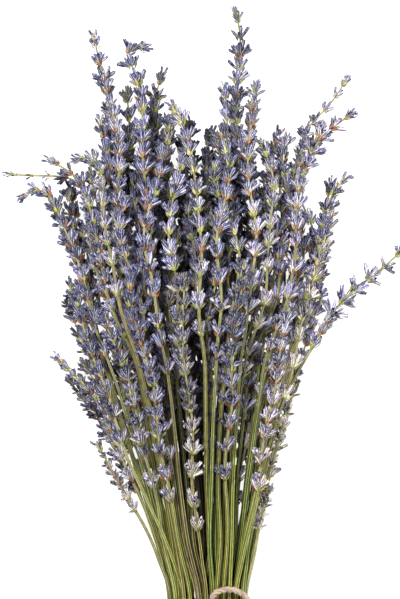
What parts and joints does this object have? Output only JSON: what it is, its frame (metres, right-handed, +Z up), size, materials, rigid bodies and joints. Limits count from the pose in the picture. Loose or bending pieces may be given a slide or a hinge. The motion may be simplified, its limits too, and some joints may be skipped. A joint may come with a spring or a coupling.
{
  "type": "dried lavender bunch",
  "caption": "Bunch of dried lavender sprigs with flower spikes, bound round the stems with natural twine and a bow, lying on its side.",
  "frame": {"origin": "on the surface that the bunch lies on, at the underside of the twine's middle turn", "axes": "+Y along the stems towards the flower spikes, +Z up from the surface to the face with the bow, +X across the bunch to the right seen from above"},
  "size_m": [0.1861, 0.402, 0.0908],
  "materials": {
    "dried_lavender": "matt, dried grey-violet flower spikes on olive stems",
    "twine": "matt, hairy natural fibre"
  },
  "bodies": {
    "root": {"twine": "twine", "sprig_pair_01": "dried_lavender", "sprig_pair_02": "dried_lavender", "sprig_pair_03": "dried_lavender", "sprig_pair_04": "dried_lavender", "sprig_pair_05": "dried_lavender", "sprig_pair_06": "dried_lavender", "sprig_pair_07": "dried_lavender", "sprig_pair_08": "dried_lavender", "sprig_09": "dried_lavender", "sprig_pair_10": "dried_lavender", "sprig_pair_11": "dried_lavender", "sprig_pair_12": "dried_lavender", "sprig_13": "dried_lavender", "sprig_pair_14": "dried_lavender", "sprig_15": "dried_lavender", "sprig_pair_16": "dried_lavender", "sprig_pair_17": "dried_lavender", "sprig_pair_18": "dried_lavender", "sprig_19": "dried_lavender", "sprig_20": "dried_lavender", "sprig_pair_21": "dried_lavender", "sprig_pair_22": "dried_lavender", "sprig_23": "dried_lavender", "sprig_24": "dried_lavender", "sprig_pair_25": "dried_lavender", "sprig_26": "dried_lavender", "sprig_27": "dried_lavender", "sprig_pair_28": "dried_lavender", "sprig_pair_29": "dried_lavender", "sprig_pair_30": "dried_lavender", "sprig_31": "dried_lavender", "sprig_pair_32": "dried_lavender", "sprig_33": "dried_lavender", "sprig_34": "dried_lavender", "sprig_35": "dried_lavender", "sprig_36": "dried_lavender", "sprig_37": "dried_lavender", "sprig_38": "dried_lavender", "sprig_39": "dried_lavender", "sprig_40": "dried_lavender", "sprig_41": "dried_lavender", "sprig_pair_42": "dried_lavender", "sprig_pair_43": "dried_lavender", "sprig_44": "dried_lavender", "sprig_45": "dried_lavender", "sprig_pair_46": "dried_lavender", "sprig_47": "dried_lavender", "sprig_48": "dried_lavender", "sprig_49": "dried_lavender", "sprig_50": "dried_lavender", "sprig_51": "dried_lavender", "sprig_52": "dried_lavender", "sprig_pair_53": "dried_lavender", "sprig_54": "dried_lavender", "sprig_55": "dried_lavender", "sprig_56": "dried_lavender", "sprig_57": "dried_lavender", "sprig_58": "dried_lavender"}
  },
  "joints": []
}
